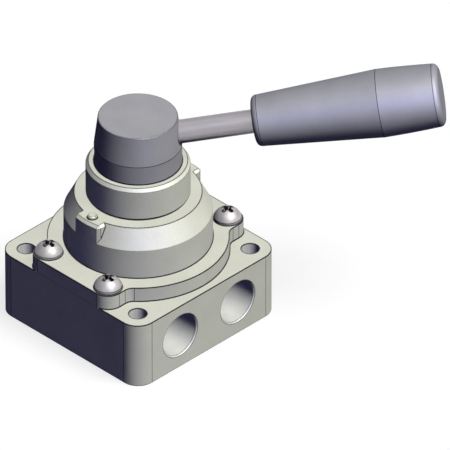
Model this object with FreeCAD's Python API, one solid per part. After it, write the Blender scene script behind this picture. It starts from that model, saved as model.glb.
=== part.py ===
import FreeCAD, Part
import math
import os

# Hand lever air valve: a rotary disc under a bonnet joins four ports in pairs.
# Millimetres. The origin is the centre of the body's bottom face, on the spindle axis.
# +Z is up, the ports open on the +X and -X faces, and the lever rests over a corner.

# Clearances
running_gap = 0.03
press_gap = 0.01
face_gap = 0.02
screw_gap = 0.15
seal_gap = 0.05

# Lever travel
lever_azimuth = 45.0
turn_range = 90.0
lever_rise = 9.8

# Body and ports
floor_t = 3.85
port_bore_d = 11.5
roof_t = 3.15
port_web = 8.7
port_depth = 12.0
port_chamfer = 0.35
feed_overrun = 0.6
feed_d = 9.0
passage_d = 4.4
flange_inset = 2.2
mount_edge = 5.25
mount_hole_d = 4.5
body_corner_r = 5.0
edge_break = 0.25
drill_point_angle = 118.0

# Screws between bonnet and body
screw_d = 4.0
screw_length = 12.0
screw_spacing = 21.0
screw_tap_runout = 1.5
head_d = 7.1
head_h = 3.1
head_rim_h = 0.7
ear_margin = 0.45
recess_span = 3.7
recess_width = 0.75
recess_depth = 1.6
recess_root_d = 2.0

# Bonnet
flange_t = 4.1
flange_step = 4.15
flange_fillet_r = 3.0
dome_wall = 3.05
ceiling_t = 5.66
cone_h = 5.2
cone_inset = 2.65
seat_ledge = 2.9
tab_w = 8.8
tab_chamfer = 0.75

# Pins
locating_pin_d = 2.5
locating_pin_length = 5.5
locating_pin_in_body = 3.0
index_pin_d = 2.5
index_pin_length = 3.7
index_pin_proud = 0.7
index_pin_edge = 2.6
stop_pin_d = 3.0
stop_pin_length = 7.0
stop_pin_proud = 2.4
stop_gap = 0.1
pin_hole_runout = 0.2

# Seals
body_seal_cord = 1.8
body_seal_squeeze = 0.3
body_seal_land = 0.7
seal_side_room = 0.1
stem_seal_cord = 1.7
stem_seal_room = 0.3

# Disc, its spring and the ports' passages
port_step = 90.0
disc_clearance = 0.4
disc_rim_land = 1.8
kidney_depth = 3.0
disc_web = 0.5
key_depth = 2.0
key_gap = 0.05
disc_chamfer = 0.5
spring_wire = 1.1
spring_turns = 2.75
spring_pocket_depth = 1.4
spring_room = 2.9
spring_side_gap = 0.25
spring_tang_gap = 1.1
ground_share = 0.1

# Stem
stem_d = 10.0
stem_flange_rim = 2.3
stem_flange_t = 3.0
tang_length = 11.0
tang_width = 4.5
square_across = 7.6
bush_wall = 1.47
washer_t = 0.5
washer_inset = 0.2

# Retaining ring
ring_t = 1.0
ring_wall = 1.9
ring_groove_depth = 0.4
ring_lift = 0.1
ring_opening = 5.0
ring_room = 0.3

# Detent
plate_t = 1.2
plate_rim = 0.5
ball_d = 4.0
ball_sink = 0.5
ball_gap = 0.04
dimple_depth = 0.25
ball_wall = 0.55
detent_wire = 0.5
detent_turns = 5.0

# Turning seat and lever hub
seat_gap = 0.5
seat_h = 9.0
seat_wall = 1.61
seat_chamfer_in = 0.7
seat_chamfer_down = 0.95
cup_depth = 1.6
cup_rim = 2.07
hub_band_h = 5.2
hub_taper = 1.0
hub_cap = 1.2
lever_above_seam = 1.55
stem_top_margin = 1.1
hub_top_room = 0.2
set_screw_d = 4.0
set_screw_length = 6.0
set_screw_height = 0.6
set_screw_hex = 2.0
set_screw_hex_depth = 2.5

# Lever rod and grip
rod_d = 6.0
rod_free = 18.2
rod_hole_gap = 0.35
rod_seat = 3.2
spigot_d = 5.0
spigot_end = 3.0
spigot_room = 0.3
rod_engagement = 14.0
rod_chamfer = 0.5
grip_length = 47.4
grip_crown = 31.9
grip_start_d = 12.8
grip_crown_d = 17.2
grip_end_d = 15.7
grip_end_bulge = 0.12
grip_edge_r = 1.5
insert_wall = 1.4
insert_length = 16.0
insert_sink = 0.5
insert_groove_w = 1.6
insert_groove_depth = 0.45
insert_room = 1.0

# Radii from the spindle outwards
stem_r = stem_d / 2
bush_r = stem_r + running_gap + bush_wall
ring_r = stem_r - ring_groove_depth + running_gap + ring_wall
ring_room_r = ring_r + ring_room + press_gap
ball_r = ball_d / 2
ball_hole_r = ball_r + seal_gap
ball_circle_r = ring_room_r + ball_wall + ball_hole_r
seat_r = ball_circle_r + ball_hole_r + seat_wall
hub_r = seat_r - cup_rim - running_gap
cone_top_r = seat_r + seat_ledge
dome_r = cone_top_r + cone_inset
cavity_r = dome_r - dome_wall
flange_r = dome_r + flange_step
body_side = 2 * (flange_r + flange_inset)
half_side = body_side / 2
disc_r = cavity_r - disc_clearance
passage_r = passage_d / 2
passage_circle_r = disc_r - disc_rim_land - passage_r
mount_pitch = body_side - 2 * mount_edge
port_pitch = port_bore_d + port_web
head_r = head_d / 2
ear_r = head_r + ear_margin
screw_y = half_side - ear_r
screw_places = [(x * screw_spacing / 2, y * screw_y) for x in (-1, 1) for y in (-1, 1)]
seal_groove_w = body_seal_cord + 2 * seal_side_room
seal_mid_r = cavity_r + body_seal_land + seal_groove_w / 2
locating_pin_x = (seal_mid_r + seal_groove_w / 2 + flange_r) / 2
index_pin_y = dome_r - index_pin_edge
plate_r = seat_r - plate_rim
stop_angle = lever_azimuth + 180 + turn_range / 2
stop_x = ball_circle_r * math.cos(math.radians(stop_angle))
stop_y = ball_circle_r * math.sin(math.radians(stop_angle))
spring_mid_r = math.hypot(tang_length, tang_width) / 2 + spring_tang_gap + spring_wire / 2
stem_flange_r = spring_mid_r + spring_wire / 2 + stem_flange_rim
rod_r = rod_d / 2
spigot_r = spigot_d / 2
rod_hole_r = rod_r + rod_hole_gap

# Heights from the bottom face upwards
port_z = floor_t + port_bore_d / 2
body_height = floor_t + port_bore_d + roof_t
disc_low = body_height + face_gap
kidney_top = disc_low + kidney_depth
key_floor = kidney_top + disc_web
disc_top = key_floor + key_depth
stem_flange_low = disc_top + spring_room
stem_flange_top = stem_flange_low + stem_flange_t
washer_low = stem_flange_top + face_gap
ceiling_z = washer_low + washer_t
bonnet_top = ceiling_z + ceiling_t
flange_top = body_height + flange_t
shoulder_z = bonnet_top - cone_h
gland_top = ceiling_z + stem_seal_cord + stem_seal_room
ball_z = bonnet_top + ball_r - ball_sink
seat_low = bonnet_top + seat_gap
seat_top = seat_low + seat_h
cup_floor = seat_top - cup_depth
ring_low = bonnet_top + ring_lift
ring_room_top = ring_low + ring_t + ring_room
seam_z = seat_top + hub_band_h
lever_z = seam_z + lever_above_seam
rise = math.radians(lever_rise)
stem_top = lever_z + spigot_r / math.cos(rise) + stem_top_margin
hub_top = lever_z + hub_r * math.tan(rise) + rod_hole_r / math.cos(rise) + hub_cap
set_screw_z = seat_top + set_screw_height + set_screw_d / 2

# Distances along the lever, from the spindle axis
grip_start = hub_r + rod_free
grip_end = grip_start + grip_length
insert_start = grip_start + insert_sink
insert_end = insert_start + insert_length
rod_end = grip_start + rod_engagement

Vector = FreeCAD.Vector
ORIGIN = Vector(0, 0, 0)
X_AXIS = Vector(1, 0, 0)
Y_AXIS = Vector(0, 1, 0)
Z_AXIS = Vector(0, 0, 1)
NEAR = 0.01


def cylinder(radius, z_low, z_high, x=0.0, y=0.0):
    """Upright cylinder between two heights."""
    return Part.makeCylinder(radius, z_high - z_low, Vector(x, y, z_low))


def box(x_size, y_size, z_low, z_high, x=0.0, y=0.0):
    """Upright block centred on (x, y)."""
    corner = Vector(x - x_size / 2, y - y_size / 2, z_low)
    return Part.makeBox(x_size, y_size, z_high - z_low, corner)


def turned(corners):
    """Solid of revolution about Z from (radius, height) corners."""
    points = [Vector(r, 0, z) for r, z in corners]
    face = Part.Face(Part.makePolygon(points + points[:1]))
    return face.revolve(ORIGIN, Z_AXIS, 360)


def at_angle(degrees, radius):
    """The two coordinates of a point at an angle on a circle."""
    return radius * math.cos(math.radians(degrees)), radius * math.sin(math.radians(degrees))


def arc_slot(mid_r, half_width, middle, sweep, z_low, z_high):
    """Slot with round ends along an arc about the spindle, centred on the angle middle."""
    corners = [(mid_r - half_width, z_low), (mid_r + half_width, z_low),
               (mid_r + half_width, z_high), (mid_r - half_width, z_high)]
    points = [Vector(r, 0, z) for r, z in corners]
    slot = Part.Face(Part.makePolygon(points + points[:1])).revolve(ORIGIN, Z_AXIS, sweep)
    slot.rotate(ORIGIN, Z_AXIS, middle - sweep / 2)
    for end in (-1, 1):
        x, y = at_angle(middle + end * sweep / 2, mid_r)
        slot = slot.fuse(cylinder(half_width, z_low, z_high, x, y))
    return slot.removeSplitter()


def upright_edges(shape, x_size, y_size):
    """Vertical edges at (+-x_size/2, +-y_size/2)."""
    found = []
    for edge in shape.Edges:
        box_of = edge.BoundBox
        in_place = abs(abs(box_of.XMin) - x_size / 2) < NEAR and abs(abs(box_of.YMin) - y_size / 2) < NEAR
        if in_place and box_of.XLength < NEAR and box_of.YLength < NEAR:
            found.append(edge)
    return found


def level_edges(shape, z):
    """Outer boundary edges of the flat faces at a height."""
    found = []
    for face in shape.Faces:
        if abs(face.BoundBox.ZMin - z) < NEAR and abs(face.BoundBox.ZMax - z) < NEAR:
            found.extend(face.OuterWire.Edges)
    return found


def coil(mid_r, wire_d, z_low, z_high, turns):
    """Coil spring round Z, with both ends ground flat."""
    ground = ground_share * wire_d
    length = z_high - z_low + 2 * ground
    helix = Part.makeHelix(length / turns, length, mid_r)
    helix.translate(Vector(0, 0, z_low - ground))
    section = Part.makeCircle(wire_d / 2, Vector(mid_r, 0, z_low - ground), Y_AXIS)
    wire = Part.Wire(helix.Edges).makePipeShell([Part.Wire([section])], True, True)
    return wire.common(cylinder(mid_r + wire_d, z_low, z_high))


def seal_ring(mid_r, cord, z_low, z_high):
    """O-ring pressed flat where it meets the faces at two heights."""
    ring = Part.makeTorus(mid_r, cord / 2, Vector(0, 0, (z_low + z_high) / 2))
    return ring.common(cylinder(mid_r + cord, z_low, z_high))


def over_corner(shape):
    """Turns a piece built with the lever along X to the lever's place at rest."""
    turned_shape = shape.copy()
    turned_shape.rotate(ORIGIN, Z_AXIS, lever_azimuth)
    return turned_shape


def on_lever_axis(shape):
    """Lays a piece built round Z, from the spindle up, along the rising lever axis."""
    laid = shape.copy()
    laid.rotate(ORIGIN, Y_AXIS, 90 - lever_rise)
    laid.translate(Vector(0, 0, lever_z))
    return laid


def lever_cylinder(radius, start, end):
    """Cylinder along the lever axis between two distances from the spindle."""
    return on_lever_axis(cylinder(radius, start, end))


def port_bore(side_y):
    """A port on the +X face with its chamfered mouth, its feed drilling and its way up to the disc."""
    bore_r = port_bore_d / 2
    feed_r = feed_d / 2
    passage_x, passage_y = at_angle(side_y * port_step / 2, passage_circle_r)
    bore_end = half_side - port_depth
    feed_end = passage_x - passage_r - feed_overrun
    tip_end = feed_end - feed_r / math.tan(math.radians(drill_point_angle / 2))
    drilling = turned([(0, tip_end), (feed_r, feed_end), (feed_r, bore_end), (bore_r, bore_end),
                       (bore_r, half_side - port_chamfer), (bore_r + port_chamfer, half_side),
                       (bore_r + port_chamfer, half_side + port_chamfer), (0, half_side + port_chamfer)])
    drilling.rotate(ORIGIN, Y_AXIS, 90)
    drilling.translate(Vector(0, side_y * port_pitch / 2, port_z))
    return drilling.fuse(cylinder(passage_r, port_z, body_height, passage_x, passage_y))


def body():
    """Square die-cast base with four ports, four mounting holes and a lapped top face."""
    shape = box(body_side, body_side, 0, body_height)
    shape = shape.makeFillet(body_corner_r, upright_edges(shape, body_side, body_side))
    shape = shape.makeChamfer(edge_break, level_edges(shape, 0))
    for side in (-1, 1):
        for half_turn in (0, 180):
            mount_hole = cylinder(mount_hole_d / 2, 0, body_height, mount_pitch / 2, side * mount_pitch / 2)
            holes = port_bore(side).fuse(mount_hole)
            holes.rotate(ORIGIN, Z_AXIS, half_turn)
            shape = shape.cut(holes)
    tap_floor = flange_top - screw_length - screw_tap_runout
    for x, y in screw_places:
        shape = shape.cut(cylinder(screw_d / 2 + press_gap, tap_floor, body_height, x, y))
    groove_floor = body_height - body_seal_cord + body_seal_squeeze
    groove = cylinder(seal_mid_r + seal_groove_w / 2, groove_floor, body_height)
    groove = groove.cut(cylinder(seal_mid_r - seal_groove_w / 2, groove_floor, body_height))
    shape = shape.cut(groove)
    pin_floor = body_height - locating_pin_in_body - pin_hole_runout
    for side in (-1, 1):
        pin_hole = cylinder(locating_pin_d / 2 + press_gap, pin_floor, body_height, side * locating_pin_x)
        shape = shape.cut(pin_hole)
    return shape


def body_seal():
    """O-ring in the body's groove, under the bonnet's flange."""
    groove_floor = body_height - body_seal_cord + body_seal_squeeze
    return seal_ring(seal_mid_r, body_seal_cord, groove_floor, body_height)


def bonnet_tab(side):
    """Upright tab with bevelled edges, which runs to the full radius beside the cone."""
    reach = box(tab_w, dome_r, flange_top, bonnet_top, 0, side * dome_r / 2)
    tab = cylinder(dome_r, flange_top, bonnet_top).common(reach)
    outer_y = math.sqrt(dome_r ** 2 - (tab_w / 2) ** 2)
    top_edges = [edge for edge in level_edges(tab, bonnet_top) if side * edge.CenterOfMass.y > tab_chamfer]
    return tab.makeChamfer(tab_chamfer, top_edges + upright_edges(tab, tab_w, 2 * outer_y))


def bonnet():
    """Round cover with a flange and ears, a cone between two tabs, and the stem's neck."""
    flange = cylinder(flange_r, body_height, flange_top)
    ears = box(screw_spacing + 2 * ear_r, body_side, body_height, flange_top)
    ears = ears.makeFillet(ear_r, upright_edges(ears, screw_spacing + 2 * ear_r, body_side))
    flange = flange.fuse(ears).removeSplitter()
    meet_y = math.sqrt(flange_r ** 2 - (screw_spacing / 2 + ear_r) ** 2)
    flange = flange.makeFillet(flange_fillet_r, upright_edges(flange, screw_spacing + 2 * ear_r, 2 * meet_y))
    dome = turned([(0, body_height), (dome_r, body_height), (dome_r, shoulder_z),
                   (cone_top_r, bonnet_top), (0, bonnet_top)])
    shape = flange.fuse([dome, bonnet_tab(-1), bonnet_tab(1)]).removeSplitter()
    shape = shape.cut(cylinder(cavity_r, body_height, ceiling_z))
    shape = shape.cut(cylinder(stem_r + seal_gap + stem_seal_cord + seal_gap, ceiling_z, gland_top))
    shape = shape.cut(cylinder(bush_r + press_gap, gland_top, bonnet_top))
    shape = shape.cut(cylinder(plate_r + press_gap, bonnet_top - plate_t, bonnet_top))
    stop_floor = bonnet_top + stop_pin_proud - stop_pin_length - pin_hole_runout
    shape = shape.cut(cylinder(stop_pin_d / 2 + press_gap, stop_floor, bonnet_top, stop_x, stop_y))
    index_floor = bonnet_top + index_pin_proud - index_pin_length - pin_hole_runout
    shape = shape.cut(cylinder(index_pin_d / 2 + press_gap, index_floor, bonnet_top, 0, -index_pin_y))
    for x, y in screw_places:
        shape = shape.cut(cylinder(screw_d / 2 + screw_gap, body_height, flange_top, x, y))
    pin_top = body_height + locating_pin_length - locating_pin_in_body + pin_hole_runout
    for side in (-1, 1):
        pin_hole = cylinder(locating_pin_d / 2 + press_gap, body_height, pin_top, side * locating_pin_x)
        shape = shape.cut(pin_hole)
    return shape


def cover_screw():
    """Pan head screw with a cross recess, its head's underside at height zero."""
    crown_h = head_h - head_rim_h
    crown_r = (head_r ** 2 + crown_h ** 2) / (2 * crown_h)
    head = cylinder(head_r, 0, head_h).common(Part.makeSphere(crown_r, Vector(0, 0, head_h - crown_r)))
    screw = head.fuse(cylinder(screw_d / 2, -screw_length, 0))
    recess_floor = head_h - recess_depth
    arms = box(recess_span, recess_width, recess_floor, head_h)
    arms = arms.fuse(box(recess_width, recess_span, recess_floor, head_h))
    funnel = turned([(0, recess_floor), (recess_root_d / 2, recess_floor),
                     (recess_span / 2, head_h), (0, head_h)])
    return screw.cut(arms.common(funnel))


def cover_screws():
    """The four screws that hold the bonnet on the body."""
    screws = []
    for x, y in screw_places:
        screw = cover_screw()
        screw.translate(Vector(x, y, flange_top))
        screws.append(screw)
    return Part.makeCompound(screws)


def pin(diameter, z_low, z_high, x, y):
    """Hardened pin with a small chamfer at both ends."""
    shape = cylinder(diameter / 2, z_low, z_high, x, y)
    return shape.makeChamfer(edge_break, level_edges(shape, z_low) + level_edges(shape, z_high))


def locating_pins():
    """Two pins that place the bonnet on the body."""
    low = body_height - locating_pin_in_body
    high = low + locating_pin_length
    pins = [pin(locating_pin_d, low, high, side * locating_pin_x, 0) for side in (-1, 1)]
    return Part.makeCompound(pins)


def index_pin():
    """Pin that marks the front tab."""
    high = bonnet_top + index_pin_proud
    return pin(index_pin_d, high - index_pin_length, high, 0, -index_pin_y)


def stop_pin():
    """Pin in the bonnet that ends the lever's travel in the seat's arc slot."""
    high = bonnet_top + stop_pin_proud
    return pin(stop_pin_d, high - stop_pin_length, high, stop_x, stop_y)


def valve_disc():
    """Lapped disc with two kidney recesses below, a spring pocket and the tang's slot above."""
    shape = turned([(0, disc_low), (disc_r, disc_low), (disc_r, disc_top - disc_chamfer),
                    (disc_r - disc_chamfer, disc_top), (0, disc_top)])
    for middle in (port_step, -port_step):
        shape = shape.cut(arc_slot(passage_circle_r, passage_r, middle, port_step, disc_low, kidney_top))
    pocket_half = spring_wire / 2 + spring_side_gap
    pocket = cylinder(spring_mid_r + pocket_half, disc_top - spring_pocket_depth, disc_top)
    pocket = pocket.cut(cylinder(spring_mid_r - pocket_half, disc_top - spring_pocket_depth, disc_top))
    key_slot = box(tang_length + 2 * key_gap, tang_width + 2 * key_gap, key_floor, disc_top)
    return shape.cut(pocket).cut(over_corner(key_slot))


def disc_spring():
    """Coil spring that presses the disc on the body."""
    low = disc_top - spring_pocket_depth
    return over_corner(coil(spring_mid_r, spring_wire, low, stem_flange_low, spring_turns))


def stem():
    """Spindle with a drive tang, a flange, a journal, a ring groove and a square top."""
    groove_top = ring_low + ring_t + face_gap
    groove_r = stem_r - ring_groove_depth
    square_low = ring_room_top
    shape = turned([(0, stem_flange_low), (stem_flange_r, stem_flange_low),
                    (stem_flange_r, stem_flange_top), (stem_r, stem_flange_top),
                    (stem_r, ring_low - face_gap), (groove_r, ring_low - face_gap),
                    (groove_r, groove_top), (stem_r, groove_top), (stem_r, stem_top), (0, stem_top)])
    square = box(square_across, square_across, square_low, stem_top)
    shape = shape.cut(cylinder(2 * stem_r, square_low, stem_top).cut(square))
    shape = shape.fuse(box(tang_length, tang_width, key_floor + seal_gap, stem_flange_low))
    shape = shape.cut(lever_cylinder(spigot_r + running_gap, -spigot_end - spigot_room, stem_d))
    shape = shape.cut(lever_cylinder(rod_r + seal_gap, rod_seat, stem_d))
    return over_corner(shape)


def thrust_washer():
    """Plastic washer between the stem's flange and the bonnet's ceiling."""
    washer = cylinder(stem_flange_r - washer_inset, washer_low, ceiling_z)
    return washer.cut(cylinder(stem_r + running_gap, washer_low, ceiling_z))


def stem_seal():
    """O-ring round the stem, in the gland above the washer."""
    return seal_ring(stem_r + seal_gap + stem_seal_cord / 2, stem_seal_cord, ceiling_z, gland_top)


def stem_bush():
    """Plain bearing in the bonnet's neck."""
    return cylinder(bush_r, gland_top, bonnet_top).cut(cylinder(stem_r + running_gap, gland_top, bonnet_top))


def retaining_ring():
    """Open ring in the stem's groove, above the neck."""
    inner_r = stem_r - ring_groove_depth + running_gap
    ring = cylinder(ring_r, ring_low, ring_low + ring_t).cut(cylinder(inner_r, ring_low, ring_low + ring_t))
    return over_corner(ring.cut(box(ring_r, ring_opening, ring_low, ring_low + ring_t, ring_r)))


def ball_angles():
    """Angles of the two balls at rest, square to the lever."""
    return [lever_azimuth + 90, lever_azimuth - 90]


def detent_plate():
    """Hardened plate in the bonnet's top, with a shallow track and three dimples for each ball."""
    low = bonnet_top - plate_t
    plate = cylinder(plate_r, low, bonnet_top).cut(cylinder(bush_r + seal_gap, low, bonnet_top))
    plate = plate.cut(cylinder(stop_pin_d / 2 + seal_gap, low, bonnet_top, stop_x, stop_y))
    track_r = ball_r + ball_gap
    for start in ball_angles():
        section = Part.makeCircle(track_r, Vector(ball_circle_r, 0, ball_z), Y_AXIS)
        track = Part.Face(Part.Wire([section])).revolve(ORIGIN, Z_AXIS, turn_range)
        track.rotate(ORIGIN, Z_AXIS, start)
        plate = plate.cut(track)
        for step in (0, turn_range / 2, turn_range):
            x, y = at_angle(start + step, ball_circle_r)
            plate = plate.cut(Part.makeSphere(track_r, Vector(x, y, ball_z - dimple_depth)))
    return plate


def detent_balls():
    """Two steel balls in the seat's holes."""
    balls = []
    for angle in ball_angles():
        x, y = at_angle(angle, ball_circle_r)
        balls.append(Part.makeSphere(ball_r, Vector(x, y, ball_z)))
    return Part.makeCompound(balls)


def detent_springs():
    """Two coil springs between the balls and the hub."""
    mid_r = ball_r - detent_wire
    low = ball_z + math.sqrt(ball_r ** 2 - (mid_r - detent_wire / 2) ** 2) + face_gap
    springs = []
    for angle in ball_angles():
        x, y = at_angle(angle, ball_circle_r)
        spring = coil(mid_r, detent_wire, low, cup_floor, detent_turns)
        spring.translate(Vector(x, y, 0))
        springs.append(spring)
    return Part.makeCompound(springs)


def turning_seat():
    """Round collar on the stem's square, with the balls' holes and the stop's arc slot."""
    shape = turned([(0, seat_low), (seat_r, seat_low), (seat_r, seat_top - seat_chamfer_down),
                    (seat_r - seat_chamfer_in, seat_top), (0, seat_top)])
    shape = shape.cut(cylinder(hub_r + running_gap, cup_floor, seat_top))
    across = square_across + 2 * key_gap
    shape = shape.cut(box(across, across, seat_low, cup_floor))
    shape = shape.cut(cylinder(ring_room_r, seat_low, ring_room_top))
    for side in (-1, 1):
        shape = shape.cut(cylinder(ball_hole_r, seat_low, cup_floor, 0, side * ball_circle_r))
    slot_top = bonnet_top + stop_pin_proud + ring_room
    stop_slot = arc_slot(ball_circle_r, stop_pin_d / 2 + stop_gap, 180, turn_range, seat_low, slot_top)
    return over_corner(shape.cut(stop_slot))


def lever_hub():
    """Grey knob over the stem's square, crossed by the rod and locked by a set screw."""
    shape = turned([(0, cup_floor), (hub_r, cup_floor), (hub_r, seam_z),
                    (hub_r - hub_taper, hub_top), (0, hub_top)])
    shape = shape.makeFillet(edge_break, level_edges(shape, hub_top))
    across = square_across + 2 * key_gap
    shape = shape.cut(box(across, across, cup_floor, stem_top + hub_top_room))
    shape = shape.cut(lever_cylinder(rod_hole_r, 0, 2 * hub_r))
    hole_start = Vector(0, 0, set_screw_z)
    screw_hole = Part.makeCylinder(set_screw_d / 2 + press_gap, 2 * hub_r, hole_start, -X_AXIS)
    return over_corner(shape.cut(screw_hole))


def hub_set_screw():
    """Grub screw with a hexagon socket, which locks the hub on the stem."""
    start = square_across / 2 + face_gap
    point = Vector(-start, 0, set_screw_z)
    screw = Part.makeCylinder(set_screw_d / 2, set_screw_length, point, -X_AXIS)
    corner_r = set_screw_hex / 2 / math.cos(math.radians(30))
    face_x = -start - set_screw_length
    corners = []
    for degrees in range(0, 361, 60):
        y, z = at_angle(degrees, corner_r)
        corners.append(Vector(face_x, y, set_screw_z + z))
    socket = Part.Face(Part.makePolygon(corners)).extrude(Vector(set_screw_hex_depth, 0, 0))
    return over_corner(screw.cut(socket))


def lever_rod():
    """Round rod that screws through the hub into the stem, and into the grip's insert."""
    rod = turned([(0, -spigot_end), (spigot_r, -spigot_end), (spigot_r, rod_seat), (rod_r, rod_seat),
                  (rod_r, rod_end - rod_chamfer), (rod_r - rod_chamfer, rod_end), (0, rod_end)])
    return over_corner(on_lever_axis(rod))


def insert_r():
    """Outer radius of the grip's insert."""
    return rod_r + running_gap + insert_wall


def grip():
    """Tapered hand grip with rounded ends and a blind bore for its insert."""
    crown = grip_start + grip_crown
    belly_r = (grip_crown_d + grip_end_d) / 4 + grip_end_bulge
    outline = [(0, grip_end), (0, grip_start), (grip_start_d / 2, grip_start), (grip_crown_d / 2, crown)]
    sides = Part.makePolygon([Vector(r, 0, z) for r, z in outline])
    belly = Part.Arc(Vector(grip_crown_d / 2, 0, crown),
                     Vector(belly_r, 0, (crown + grip_end) / 2),
                     Vector(grip_end_d / 2, 0, grip_end)).toShape()
    end = Part.makeLine(Vector(grip_end_d / 2, 0, grip_end), Vector(0, 0, grip_end))
    shape = Part.Face(Part.Wire(sides.Edges + [belly, end])).revolve(ORIGIN, Z_AXIS, 360)
    shape = shape.makeFillet(grip_edge_r, level_edges(shape, grip_start) + level_edges(shape, grip_end))
    shape = shape.cut(cylinder(insert_r() + press_gap, grip_start, insert_end))
    shape = shape.cut(cylinder(rod_r + seal_gap, insert_end, insert_end + insert_room))
    return over_corner(on_lever_axis(shape))


def grip_insert():
    """Threaded insert with a retaining groove, moulded into the grip."""
    inner, outer = rod_r + running_gap, insert_r()
    groove = outer - insert_groove_depth
    middle = (insert_start + insert_end) / 2
    low, high = middle - insert_groove_w / 2, middle + insert_groove_w / 2
    shape = turned([(inner, insert_start), (outer, insert_start), (outer, low), (groove, low),
                    (groove, high), (outer, high), (outer, insert_end), (inner, insert_end)])
    return over_corner(on_lever_axis(shape))


pieces = [body, body_seal, bonnet, cover_screws, locating_pins, index_pin, stop_pin, valve_disc, disc_spring,
          stem, thrust_washer, stem_seal, stem_bush, retaining_ring, detent_plate, detent_balls,
          detent_springs, turning_seat, lever_hub, hub_set_screw, lever_rod, grip, grip_insert]

os.makedirs("parts", exist_ok=True)
for piece in pieces:
    piece().exportStep("parts/" + piece.__name__ + ".step")
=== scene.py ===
import math

import bpy
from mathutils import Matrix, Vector

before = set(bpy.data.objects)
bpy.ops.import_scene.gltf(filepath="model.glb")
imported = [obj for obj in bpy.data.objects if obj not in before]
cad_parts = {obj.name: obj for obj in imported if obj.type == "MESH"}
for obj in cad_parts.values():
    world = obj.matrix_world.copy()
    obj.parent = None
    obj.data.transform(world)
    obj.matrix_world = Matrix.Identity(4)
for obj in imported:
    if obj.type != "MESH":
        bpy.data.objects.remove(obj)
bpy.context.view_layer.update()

# Base with four ports
# The square base is pressure die-cast aluminium, blasted and stoved with a pale lacquer full of fine
# aluminium flake. The ports and the mounting holes are bored after that, so their walls are bare metal,
# and the top that the disc turns on is lapped.
MM = 0.001
lacquer_pale, lacquer_deep = "#DFE0D4", "#D5D6C9"
lacquer_flake = 0.46
lacquer_roughness = 0.68
line_dark, witness_grey = "#1E1F22", "#55565A"
port_centre, port_wall = (0, 10.1, 9.6), 6.15
mount_centre, mount_wall = (19.75, 19.75, 0), 2.35
tangent_mm = 20
face_plane, joint_height, ear_reach = 24.9, 18.5, 11.3
tool_pitch = 0.6


def linear(hex_code):
    """An sRGB hex value as the linear colour that a socket takes."""
    shares = [int(hex_code[i:i + 2], 16) / 255 for i in (1, 3, 5)]
    return [c / 12.92 if c <= 0.04045 else ((c + 0.055) / 1.055) ** 2.4 for c in shares] + [1.0]


def add_node(tree, kind, settings=None, values=None, links=None):
    """Adds a node with its settings, its sockets' values and its links from (node, output)."""
    node = tree.nodes.new(kind)
    for name, value in (settings or {}).items():
        setattr(node, name, value)
    for name, value in (values or {}).items():
        node.inputs[name].default_value = value
    for name, (source, output) in (links or {}).items():
        tree.links.new(source.outputs[output], node.inputs[name])
    return node


def start_finish(name):
    """A new material, its emptied tree, and the piece's own coordinates in metres."""
    material = bpy.data.materials.new(name)
    material.use_nodes = True
    material.node_tree.nodes.clear()
    place = add_node(material.node_tree, "ShaderNodeTexCoord")
    return material, material.node_tree, (place, "Object")


def mottle(tree, place, pale, deep, patch_mm, grain_mm):
    """Two tones that drift over patches, with a fine grain."""
    patches = add_node(tree, "ShaderNodeTexNoise", None, {"Scale": 1 / (patch_mm * MM), "Detail": 4.0},
                       {"Vector": place})
    grain = add_node(tree, "ShaderNodeTexNoise", None, {"Scale": 1 / (grain_mm * MM), "Detail": 2.0},
                     {"Vector": place})
    both = add_node(tree, "ShaderNodeMath", {"operation": "MULTIPLY_ADD"}, {1: 0.5},
                    {0: (grain, "Fac"), 2: (patches, "Fac")})
    tones = add_node(tree, "ShaderNodeValToRGB", links={"Fac": (both, "Value")})
    for stop, position, colour in zip(tones.color_ramp.elements, (0.5, 1.0), (deep, pale)):
        stop.position = position
        stop.color = linear(colour)
    return tones, "Color"


def lay_over(tree, below, mask, above):
    """Lays a hex colour, or another layer, over the one below where the mask is 1."""
    layer = add_node(tree, "ShaderNodeMix", {"data_type": "RGBA"}, None, {0: mask, 6: below})
    if isinstance(above, str):
        layer.inputs[7].default_value = linear(above)
    else:
        tree.links.new(above[0].outputs[above[1]], layer.inputs[7])
    return layer, 2


# Painted shade: short-reach occlusion darkens joints and creases, and the same mask draws a thin dark line along convex
# edges.
def draw_edge_lines_and_joint_shade(tree, below, dark, reach_mm):
    """A thin dark line drawn along convex edges, and painted shade along joints and creases where nearby surfaces close
    in.
    """
    crest = add_node(tree, "ShaderNodeAmbientOcclusion", {"samples": 8, "inside": True, "only_local": True},
                     {"Distance": reach_mm * MM})
    joint = add_node(tree, "ShaderNodeAmbientOcclusion", {"samples": 8}, {"Distance": reach_mm * MM})
    least = add_node(tree, "ShaderNodeMath", {"operation": "MINIMUM"}, None, {0: (crest, "AO"), 1: (joint, "AO")})
    line = add_node(tree, "ShaderNodeMapRange", None,
                    {"From Min": 0.86, "From Max": 0.97, "To Min": 1.0, "To Max": 0.0}, {"Value": (least, "Value")})
    return lay_over(tree, below, (line, "Result"), dark)


def round_wall(tree, place, centre, reach, across):
    """1 inside a round wall about an axis that repeats on every side of the part."""
    mirrored = add_node(tree, "ShaderNodeVectorMath", {"operation": "ABSOLUTE"}, None, {0: place})
    offset = add_node(tree, "ShaderNodeVectorMath", {"operation": "SUBTRACT"},
                      {1: [c * MM for c in centre]}, {0: (mirrored, "Vector")})
    flat = add_node(tree, "ShaderNodeVectorMath", {"operation": "MULTIPLY"}, {1: across}, {0: (offset, "Vector")})
    distance = add_node(tree, "ShaderNodeVectorMath", {"operation": "LENGTH"}, None, {0: (flat, "Vector")})
    inside = add_node(tree, "ShaderNodeMath", {"operation": "LESS_THAN"}, {1: reach * MM}, {0: (distance, "Value")})
    return inside, "Value"


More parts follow.
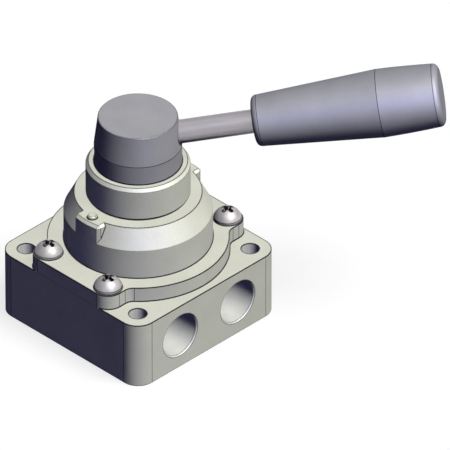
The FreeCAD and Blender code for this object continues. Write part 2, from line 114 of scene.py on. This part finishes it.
def flush_joint(tree, place):
    """Nearly 1 between the ears, where base and cover are faced off as one and their joint hardly shows."""
    mirrored = add_node(tree, "ShaderNodeVectorMath", {"operation": "ABSOLUTE"}, None, {0: place})
    split = add_node(tree, "ShaderNodeSeparateXYZ", None, None, {"Vector": (mirrored, "Vector")})
    high = add_node(tree, "ShaderNodeMath", {"operation": "COMPARE"}, {1: joint_height * MM, 2: 0.45 * MM},
                    {0: (split, "Z")})
    out = add_node(tree, "ShaderNodeMath", {"operation": "GREATER_THAN"}, {1: face_plane * MM}, {0: (split, "Y")})
    along = add_node(tree, "ShaderNodeMath", {"operation": "LESS_THAN"}, {1: ear_reach * MM}, {0: (split, "X")})
    there = add_node(tree, "ShaderNodeMath", {"operation": "MULTIPLY"}, None, {0: (high, 0), 1: (out, 0)})
    between = add_node(tree, "ShaderNodeMath", {"operation": "MULTIPLY"}, None, {0: (there, 0), 1: (along, 0)})
    hidden = add_node(tree, "ShaderNodeMath", {"operation": "MULTIPLY"}, {1: 0.85}, {0: (between, 0)})
    return hidden, "Value"


def relief(tree, place, size_mm, height_mm):
    """A fine uneven surface."""
    noise = add_node(tree, "ShaderNodeTexNoise", None, {"Scale": 1 / (size_mm * MM), "Detail": 1.0},
                     {"Vector": place})
    bump = add_node(tree, "ShaderNodeBump", None, {"Strength": 0.25, "Distance": height_mm * MM},
                    {"Height": (noise, "Fac")})
    return bump, "Normal"


def complete(tree, colour, normal, metallic, roughness, gloss=0.5):
    """The shader and the output at the end of a material."""
    shader = add_node(tree, "ShaderNodeBsdfPrincipled", None,
                      {"Metallic": metallic, "Roughness": roughness, "Specular IOR Level": gloss},
                      {"Base Color": colour, "Normal": normal})
    add_node(tree, "ShaderNodeOutputMaterial", None, None, {"Surface": (shader, "BSDF")})


def dress(node_name, material):
    """Gives a carried-over piece its finish."""
    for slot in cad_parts[node_name].material_slots:
        slot.material = material


# Stoved lacquer: the flake gives half of its light back as a broad soft sheen, and a slight orange peel
# blurs that. The bored walls are turned aluminium, paler, with tool rings drawn coarser than real. The two
# drawn-in lines on each face are where the flat meets the rounded corner.
casting, tree, place = start_finish("flake_lacquer_with_bored_walls")
colour = mottle(tree, place, lacquer_pale, lacquer_deep, 9, 0.5)
turned = mottle(tree, place, "#EBEBE6", "#DFE0DA", 3, 0.3)
rings = add_node(tree, "ShaderNodeTexWave", {"bands_direction": "X"}, {"Scale": math.pi / 10 / (tool_pitch * MM)},
                 {"Vector": place})
ring_tone = add_node(tree, "ShaderNodeMath", {"operation": "MULTIPLY"}, {1: 0.18}, {0: (rings, "Fac")})
turned = lay_over(tree, turned, (ring_tone, "Value"), "#9A9CA4")
ports = round_wall(tree, place, port_centre, port_wall, (0, 1, 1))
holes = round_wall(tree, place, mount_centre, mount_wall, (1, 1, 0))
colour = lay_over(tree, colour, ports, turned)
colour = lay_over(tree, colour, holes, turned)
mirrored = add_node(tree, "ShaderNodeVectorMath", {"operation": "ABSOLUTE"}, None, {0: place})
split = add_node(tree, "ShaderNodeSeparateXYZ", None, None, {"Vector": (mirrored, "Vector")})
for face, run in (("X", "Y"), ("Y", "X")):
    at_tangent = add_node(tree, "ShaderNodeMath", {"operation": "COMPARE"}, {1: tangent_mm * MM, 2: 0.08 * MM},
                          {0: (split, run)})
    on_face = add_node(tree, "ShaderNodeMath", {"operation": "GREATER_THAN"}, {1: face_plane * MM}, {0: (split, face)})
    witness = add_node(tree, "ShaderNodeMath", {"operation": "MULTIPLY"}, None,
                       {0: (at_tangent, "Value"), 1: (on_face, "Value")})
    colour = lay_over(tree, colour, (witness, "Value"), witness_grey)
lined = draw_edge_lines_and_joint_shade(tree, colour, line_dark, 0.3)
colour = lay_over(tree, lined, flush_joint(tree, place), colour)
complete(tree, colour, relief(tree, place, 0.9, 0.04), lacquer_flake, lacquer_roughness)
dress("body", casting)

# Seal in the base
# An O-ring of nitrile rubber, pressed in a groove under the cover's flange.
# Moulded rubber is nearly black and matt, with a dull bloom that drifts over it.
rubber, tree, place = start_finish("moulded_nitrile_rubber")
complete(tree, mottle(tree, place, "#2A2B2D", "#1B1C1E", 4, 0.25), relief(tree, place, 0.3, 0.02), 0, 0.62, 0.4)
dress("body_seal", rubber)


# Pins between base and cover
# Two dowels of hardened steel, pressed in the base, keep the cover in line with it.
# They are ground between centres, so they are bright with very fine rings.
def ringed_metal(name, pale, deep, roughness, pitch_mm, along, ring_share):
    """Bare metal with the rings that turning or grinding leaves, drawn coarser than real."""
    material, tree, place = start_finish(name)
    colour = mottle(tree, place, pale, deep, 5, 0.35)
    rings = add_node(tree, "ShaderNodeTexWave", {"bands_direction": along},
                     {"Scale": math.pi / 10 / (pitch_mm * MM), "Distortion": 0.6}, {"Vector": place})
    share = add_node(tree, "ShaderNodeMath", {"operation": "MULTIPLY"}, {1: ring_share}, {0: (rings, "Fac")})
    colour = lay_over(tree, colour, (share, "Value"), deep)
    complete(tree, colour, relief(tree, place, 0.4, 0.01), 1.0, roughness)
    return material


ground_steel = ringed_metal("ground_hardened_steel", "#CFCFD2", "#A8A8AC", 0.22, 0.3, "Z", 0.5)
dress("locating_pins", ground_steel)
dress("stop_pin", ground_steel)

# Valve disc
# The disc turns on the base under the cover and joins the ports in pairs through two kidney recesses.
# It is aluminium, hard anodised to a dull grey and lapped flat, so its face shows fine crossed scratches.
lapped, tree, place = start_finish("lapped_hard_anodised_aluminium")
colour = mottle(tree, place, "#A9AAA6", "#8F908C", 6, 0.4)
scratches = add_node(tree, "ShaderNodeTexWave", {"bands_direction": "DIAGONAL"},
                     {"Scale": math.pi / 10 / (0.5 * MM), "Distortion": 6.0, "Detail": 3.0}, {"Vector": place})
faint = add_node(tree, "ShaderNodeMath", {"operation": "MULTIPLY"}, {1: 0.3}, {0: (scratches, "Fac")})
colour = lay_over(tree, colour, (faint, "Value"), "#C2C3C0")
complete(tree, colour, relief(tree, place, 0.5, 0.01), 0.6, 0.35)
dress("valve_disc", lapped)

# Springs
# Cold drawn spring wire with ground ends: one wide coil on the disc and two small ones on the balls.
# The wire is smooth and slightly straw-coloured from stress relieving.
spring_wire = ringed_metal("drawn_spring_wire", "#BDB8AC", "#8F8A80", 0.3, 0.8, "DIAGONAL", 0.4)
dress("disc_spring", spring_wire)
dress("detent_springs", spring_wire)

# Spindle
# The spindle is stainless steel, turned on the journal and milled at the tang and the square.
# Its tool rings catch the light.
dress("stem", ringed_metal("turned_stainless_steel", "#C9C9CC", "#A4A4A9", 0.28, 0.5, "Z", 0.6))

# Washer, seal and bush round the spindle
# The washer is punched from acetal sheet, milky and waxy; the ring is rubber; the bush is pressed
# from bronze powder, so it is full of dark oil pores.
acetal, tree, place = start_finish("punched_acetal_sheet")
complete(tree, mottle(tree, place, "#F0EEE6", "#E4E1D8", 7, 0.6), relief(tree, place, 0.8, 0.02), 0, 0.42)
dress("thrust_washer", acetal)
dress("stem_seal", rubber)
bronze, tree, place = start_finish("sintered_bronze")
colour = mottle(tree, place, "#C79A5B", "#A87B42", 3, 0.3)
pores = add_node(tree, "ShaderNodeTexVoronoi", None, {"Scale": 1 / (0.35 * MM)}, {"Vector": place})
pore = add_node(tree, "ShaderNodeMapRange", None, {"From Min": 0.12, "From Max": 0.3, "To Min": 1.0, "To Max": 0.0},
                {"Value": (pores, "Distance")})
colour = lay_over(tree, colour, (pore, "Result"), "#3A2A18")
complete(tree, colour, relief(tree, place, 0.3, 0.02), 1.0, 0.45)
dress("stem_bush", bronze)

# Cover
# The round cover is a die casting like the base, in the same lacquer, with a cone between two tabs.
# It is held to the base by four screws, and its flange clamps the seal. Round each ear, thin upright
# lines show where its straight and round parts meet.
cover_lacquer, tree, place = start_finish("flake_lacquer_on_cover")
colour = mottle(tree, place, lacquer_pale, lacquer_deep, 9, 0.5)
for x, y in ((10.5, 25.0), (14.5, 21.0), (14.5, 18.96), (15.47, 16.76)):
    colour = lay_over(tree, colour, round_wall(tree, place, (x, y, 0), 0.09, (1, 1, 0)), witness_grey)
lined = draw_edge_lines_and_joint_shade(tree, colour, line_dark, 0.3)
colour = lay_over(tree, lined, flush_joint(tree, place), colour)
complete(tree, colour, relief(tree, place, 0.9, 0.04), lacquer_flake, lacquer_roughness)
dress("bonnet", cover_lacquer)

# Cover screws
# Four M4 pan head screws of zinc plated steel. The plating is satin, with a faint lilac passivation,
# and the cross recess is darkened nearly black with painted shade.
head_rim_height = 23.3


def seam_at(tree, place, axis, at_mm, half_width_mm):
    """1 on a thin line across the piece."""
    split = add_node(tree, "ShaderNodeSeparateXYZ", None, None, {"Vector": place})
    near = add_node(tree, "ShaderNodeMath", {"operation": "COMPARE"}, {1: at_mm * MM, 2: half_width_mm * MM},
                    {0: (split, axis)})
    return near, "Value"


plated, tree, place = start_finish("zinc_plated_steel")
colour = mottle(tree, place, "#C6C2C6", "#B6B2B7", 1.6, 0.3)
# Painted shade: where short-reach occlusion is high, inside the cross recess, the colour goes to near black.
recess_occlusion = add_node(tree, "ShaderNodeAmbientOcclusion", {"samples": 8, "only_local": True}, {"Distance": 1.0 * MM})
painted_recess_shade = add_node(tree, "ShaderNodeMapRange", None, {"From Min": 0.3, "From Max": 0.62, "To Min": 1.0, "To Max": 0.0},
                 {"Value": (recess_occlusion, "AO")})
colour = lay_over(tree, colour, (painted_recess_shade, "Result"), "#0E0E10")
colour = lay_over(tree, colour, seam_at(tree, place, "Z", head_rim_height, 0.08), line_dark)
colour = draw_edge_lines_and_joint_shade(tree, colour, line_dark, 0.22)
complete(tree, colour, relief(tree, place, 0.5, 0.01), 0.5, 0.56, 0.4)
dress("cover_screws", plated)

# Index pin
# A short steel pin pressed in the front tab, where it shows which way the lever stands.
# Its end is faced flat and thinly lacquered over with the tab, so it is pale and only a little bright.
pin_end, tree, place = start_finish("lacquered_pin_end")
colour = draw_edge_lines_and_joint_shade(tree, mottle(tree, place, "#DADBD0", "#CFD0C5", 1.5, 0.3), line_dark, 0.2)
complete(tree, colour, relief(tree, place, 0.3, 0.01), 0.3, 0.55, 0.3)
dress("index_pin", pin_end)

# Detent
# A hardened steel plate in the cover's top, heat-blued, and two polished bearing balls that drop
# into its dimples.
dress("detent_plate", ringed_metal("hardened_steel_plate", "#A5A6AD", "#7C7E88", 0.3, 0.6, "Z", 0.3))
dress("detent_balls", ringed_metal("polished_bearing_steel", "#D2D2D4", "#C4C4C8", 0.08, 0.9, "X", 0.1))

# Retaining ring and set screw
# Stamped and machined steel, blackened in a hot oxide bath: a deep matt black with brown in it.
blackened, tree, place = start_finish("black_oxide_steel")
colour = mottle(tree, place, "#38373A", "#232225", 2.5, 0.25)
complete(tree, colour, relief(tree, place, 0.3, 0.01), 0.7, 0.42)
dress("retaining_ring", blackened)
dress("hub_set_screw", blackened)

# Turning seat
# The collar under the knob is cast and lacquered like the cover, and the square on the spindle turns it.
# Its chamfered rim catches the light.
seat_lacquer, tree, place = start_finish("flake_lacquer_on_seat")
colour = draw_edge_lines_and_joint_shade(tree, mottle(tree, place, lacquer_pale, lacquer_deep, 9, 0.5), line_dark, 0.3)
complete(tree, colour, relief(tree, place, 0.9, 0.04), lacquer_flake, lacquer_roughness)
dress("turning_seat", seat_lacquer)

# Knob
# The hub is a smaller die casting in mid grey flake lacquer, pushed on the spindle's square.
# Where its band meets the taper the die leaves a thin seam.
seam_height = 50.8
knob_lacquer, tree, place = start_finish("mid_grey_flake_lacquer")
colour = mottle(tree, place, "#B2B2B8", "#A9A9AF", 7, 0.45)
colour = lay_over(tree, colour, seam_at(tree, place, "Z", seam_height, 0.09), line_dark)
colour = draw_edge_lines_and_joint_shade(tree, colour, line_dark, 0.3)
complete(tree, colour, relief(tree, place, 0.7, 0.03), lacquer_flake, 0.6)
dress("lever_hub", knob_lacquer)

# Lever rod
# Cold drawn 6 mm steel bar with a thin grey phosphate coat, so it is satin and partly matt, with faint
# lines along its length. It is screwed in the hub and locked there by its shoulder.
lever_height, lever_rise, lever_azimuth = 52.35, 9.8, 45.0


def along_lever(tree, place, stretch=1):
    """Coordinates whose X runs outwards along the lever from the spindle."""
    turn = (0, math.radians(-lever_rise), math.radians(lever_azimuth))
    laid = add_node(tree, "ShaderNodeMapping", {"vector_type": "TEXTURE"},
                    {"Location": (0, 0, lever_height * MM), "Rotation": turn, "Scale": (stretch, 1, 1)},
                    {"Vector": place})
    return laid, "Vector"


drawn_bar, tree, place = start_finish("phosphated_steel_bar")
lengthwise = along_lever(tree, place, 30)
colour = mottle(tree, lengthwise, "#C0BCC4", "#AAA6AE", 0.9, 0.25)
colour = draw_edge_lines_and_joint_shade(tree, colour, line_dark, 0.25)
complete(tree, colour, relief(tree, lengthwise, 0.3, 0.01), 0.35, 0.36, 0.3)
dress("lever_rod", drawn_bar)

# Grip
# The hand grip is moulded in grey nylon with aluminium flake in it, in a mould with a fine spark-eroded
# grain. Thin mould seams ring it at its fullest point and where its ends are rounded.
grip_crown, grip_end_round, grip_start_round = 61.1, 75.1, 30.7
end_face_radius = 6.35
moulded, tree, place = start_finish("moulded_nylon_with_flake")
lengthwise = along_lever(tree, place)
colour = mottle(tree, place, "#A0A0A8", "#97979F", 8, 0.4)
for ring, half_width in ((grip_crown, 0.08), (grip_end_round, 0.07), (grip_start_round, 0.07)):
    colour = lay_over(tree, colour, seam_at(tree, lengthwise, "X", ring, half_width), line_dark)
across = add_node(tree, "ShaderNodeVectorMath", {"operation": "MULTIPLY"}, {1: (0, 1, 1)}, {0: lengthwise})
from_axis = add_node(tree, "ShaderNodeVectorMath", {"operation": "LENGTH"}, None, {0: (across, "Vector")})
ring = add_node(tree, "ShaderNodeMath", {"operation": "COMPARE"}, {1: end_face_radius * MM, 2: 0.09 * MM},
                {0: (from_axis, "Value")})
split = add_node(tree, "ShaderNodeSeparateXYZ", None, None, {"Vector": lengthwise})
at_end = add_node(tree, "ShaderNodeMath", {"operation": "GREATER_THAN"}, {1: (grip_end_round + 1.2) * MM}, {0: (split, "X")})
end_ring = add_node(tree, "ShaderNodeMath", {"operation": "MULTIPLY"}, None, {0: (ring, "Value"), 1: (at_end, "Value")})
colour = lay_over(tree, colour, (end_ring, "Value"), line_dark)
colour = draw_edge_lines_and_joint_shade(tree, colour, line_dark, 0.3)
complete(tree, colour, relief(tree, place, 0.35, 0.03), 0.35, 0.6)
dress("grip", moulded)

# Insert in the grip
# A turned brass bush with a groove that the nylon grips, moulded in and then screwed on the rod.
# It is bright yellow inside the dark end of the grip, with fine tool rings.
dress("grip_insert", ringed_metal("turned_brass", "#D8B56A", "#B08D45", 0.25, 0.5, "Z", 0.4))

# Table
# A wide sheet of white paper. The camera and the bare metals see it nearly white, and it keeps the
# part's shadow, but it throws almost no light back on the part.
bpy.ops.mesh.primitive_circle_add(vertices=64, radius=8.0, fill_type="NGON")
floor = bpy.context.object
floor.name = "floor"


def seen_directly(tree):
    """1 for camera, mirror and glass rays, 0 for light that bounces on."""
    path = add_node(tree, "ShaderNodeLightPath")
    straight = add_node(tree, "ShaderNodeMath", {"operation": "MAXIMUM"}, None,
                        {0: (path, "Is Camera Ray"), 1: (path, "Is Glossy Ray")})
    return add_node(tree, "ShaderNodeMath", {"operation": "MAXIMUM"}, None,
                    {0: (straight, "Value"), 1: (path, "Is Transmission Ray")}), "Value"


paper = bpy.data.materials.new("white_paper")
paper.use_nodes = True
tree = paper.node_tree
tree.nodes.clear()
glow = add_node(tree, "ShaderNodeEmission", None, {"Color": (1, 1, 1, 1), "Strength": 0.8})
path = add_node(tree, "ShaderNodeLightPath")
reached = add_node(tree, "ShaderNodeMix", {"data_type": "RGBA"}, {6: (0.0, 0.0, 0.0, 1), 7: (0.27, 0.27, 0.27, 1)},
                   {0: (path, "Is Camera Ray")})
sheet = add_node(tree, "ShaderNodeBsdfDiffuse", None, None, {"Color": (reached, 2)})
bright = add_node(tree, "ShaderNodeAddShader", None, None, {0: (glow, 0), 1: (sheet, 0)})
dim = add_node(tree, "ShaderNodeBsdfDiffuse", None, {"Color": (0.02, 0.02, 0.03, 1)})
mix = add_node(tree, "ShaderNodeMixShader", None, None, {0: seen_directly(tree), 1: (dim, 0), 2: (bright, 0)})
add_node(tree, "ShaderNodeOutputMaterial", None, None, {"Surface": (mix, 0)})
floor.data.materials.append(paper)

# Room
# A white band round the horizon continues the table; above it the room is dim and slightly blue.
world = bpy.data.worlds.new("studio")
bpy.context.scene.world = world
world.use_nodes = True
tree = world.node_tree
tree.nodes.clear()
direction = add_node(tree, "ShaderNodeTexCoord")
split = add_node(tree, "ShaderNodeSeparateXYZ", None, None, {"Vector": (direction, "Generated")})
band = add_node(tree, "ShaderNodeMapRange", {"interpolation_type": "SMOOTHSTEP"},
                {"From Min": 0.0, "From Max": 0.15, "To Min": 1.0, "To Max": 0.0}, {"Value": (split, "Z")})
share = add_node(tree, "ShaderNodeMath", {"operation": "MULTIPLY"}, None,
                 {0: seen_directly(tree), 1: (band, "Result")})
ceiling = add_node(tree, "ShaderNodeBackground", None, {"Color": (0.012, 0.012, 0.06, 1)})
white = add_node(tree, "ShaderNodeBackground", None, {"Color": (1, 1, 1, 1)})
mix = add_node(tree, "ShaderNodeMixShader", None, None, {0: (share, "Value"), 1: (ceiling, 0), 2: (white, 0)})
add_node(tree, "ShaderNodeOutputWorld", None, None, {"Surface": (mix, 0)})

# Lamps
# One key lamp from the right, at nearly 60 degrees, as in the picture, mostly without shadows. A fill
# from behind and below stands in for the light that the table would throw back. Wide cards that only
# show in the gloss add the bluish sheen on the front.
valve = bpy.data.collections.new("valve")
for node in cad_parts.values():
    valve.objects.link(node)
table = bpy.data.collections.new("table")
table.objects.link(floor)
lacquered = bpy.data.collections.new("lacquered")
for name in ("body", "bonnet", "turning_seat", "lever_hub", "grip"):
    lacquered.objects.link(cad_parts[name])
grips = bpy.data.collections.new("grips")
grips.objects.link(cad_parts["grip"])
bare = bpy.data.collections.new("bare")
for name in ("lever_rod", "cover_screws", "index_pin"):
    bare.objects.link(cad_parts[name])
floor.light_linking.receiver_collection = bare


def sun(name, azimuth, elevation, level, spread, tint, receivers=None, shadow=True, gloss_only=False):
    """A lamp far away; level 1 shows a surface square to it in its written colour."""
    light = bpy.data.lights.new(name, "SUN")
    light.energy = level * math.pi
    light.angle = math.radians(spread)
    light.color = tint
    light.use_shadow = shadow
    light.cycles.max_bounces = 0
    lamp = bpy.data.objects.new(name, light)
    a, e = math.radians(azimuth), math.radians(elevation)
    towards = Vector((math.cos(a) * math.cos(e), math.sin(a) * math.cos(e), math.sin(e)))
    lamp.rotation_mode = "QUATERNION"
    lamp.rotation_quaternion = towards.to_track_quat("Z", "Y")
    lamp.visible_diffuse = not gloss_only
    if receivers:
        lamp.light_linking.receiver_collection = receivers
    bpy.context.scene.collection.objects.link(lamp)


sun("key_with_shadow", 6, 58, 0.10, 15, (1.0, 1.0, 0.91))
sun("key", 6, 58, 1.40, 15, (1.0, 1.0, 0.91), valve, False)
sun("table_key", 20, 60, 0.80, 25, (1.0, 1.0, 1.0), table)
sun("table_bounce", 135, -35.26, 0.80, 5, (1.0, 1.0, 1.0), valve, False)
sun("lacquer_sheen", -32, 36, 0.6, 30, (0.36, 0.35, 1.0), lacquered, False, True)
sun("grip_card", -10, 20, 1.0, 40, (0.7, 0.7, 1.0), grips, False, True)
sun("metal_card", -45, 45, 0.16, 60, (0.75, 0.75, 1.0), bare, False, True)

# Camera
# A very long lens stands in for the picture's parallel view, square to the cube's corner.
camera_data = bpy.data.cameras.new("camera")
camera = bpy.data.objects.new("camera", camera_data)
bpy.context.scene.collection.objects.link(camera)
camera_data.lens = 1500
camera_data.sensor_width = 36
camera_data.clip_start = 0.1
camera_data.clip_end = 20
back = Vector((1, -1, 1)).normalized()
aim = Vector((15.3, 15.3, 25.7)) * MM
frame_width = 112.2 * MM
camera.location = aim + back * (frame_width * camera_data.lens / camera_data.sensor_width)
camera.rotation_mode = "QUATERNION"
camera.rotation_quaternion = back.to_track_quat("Z", "Y")
bpy.context.scene.camera = camera
bpy.context.scene.view_settings.view_transform = "Standard"
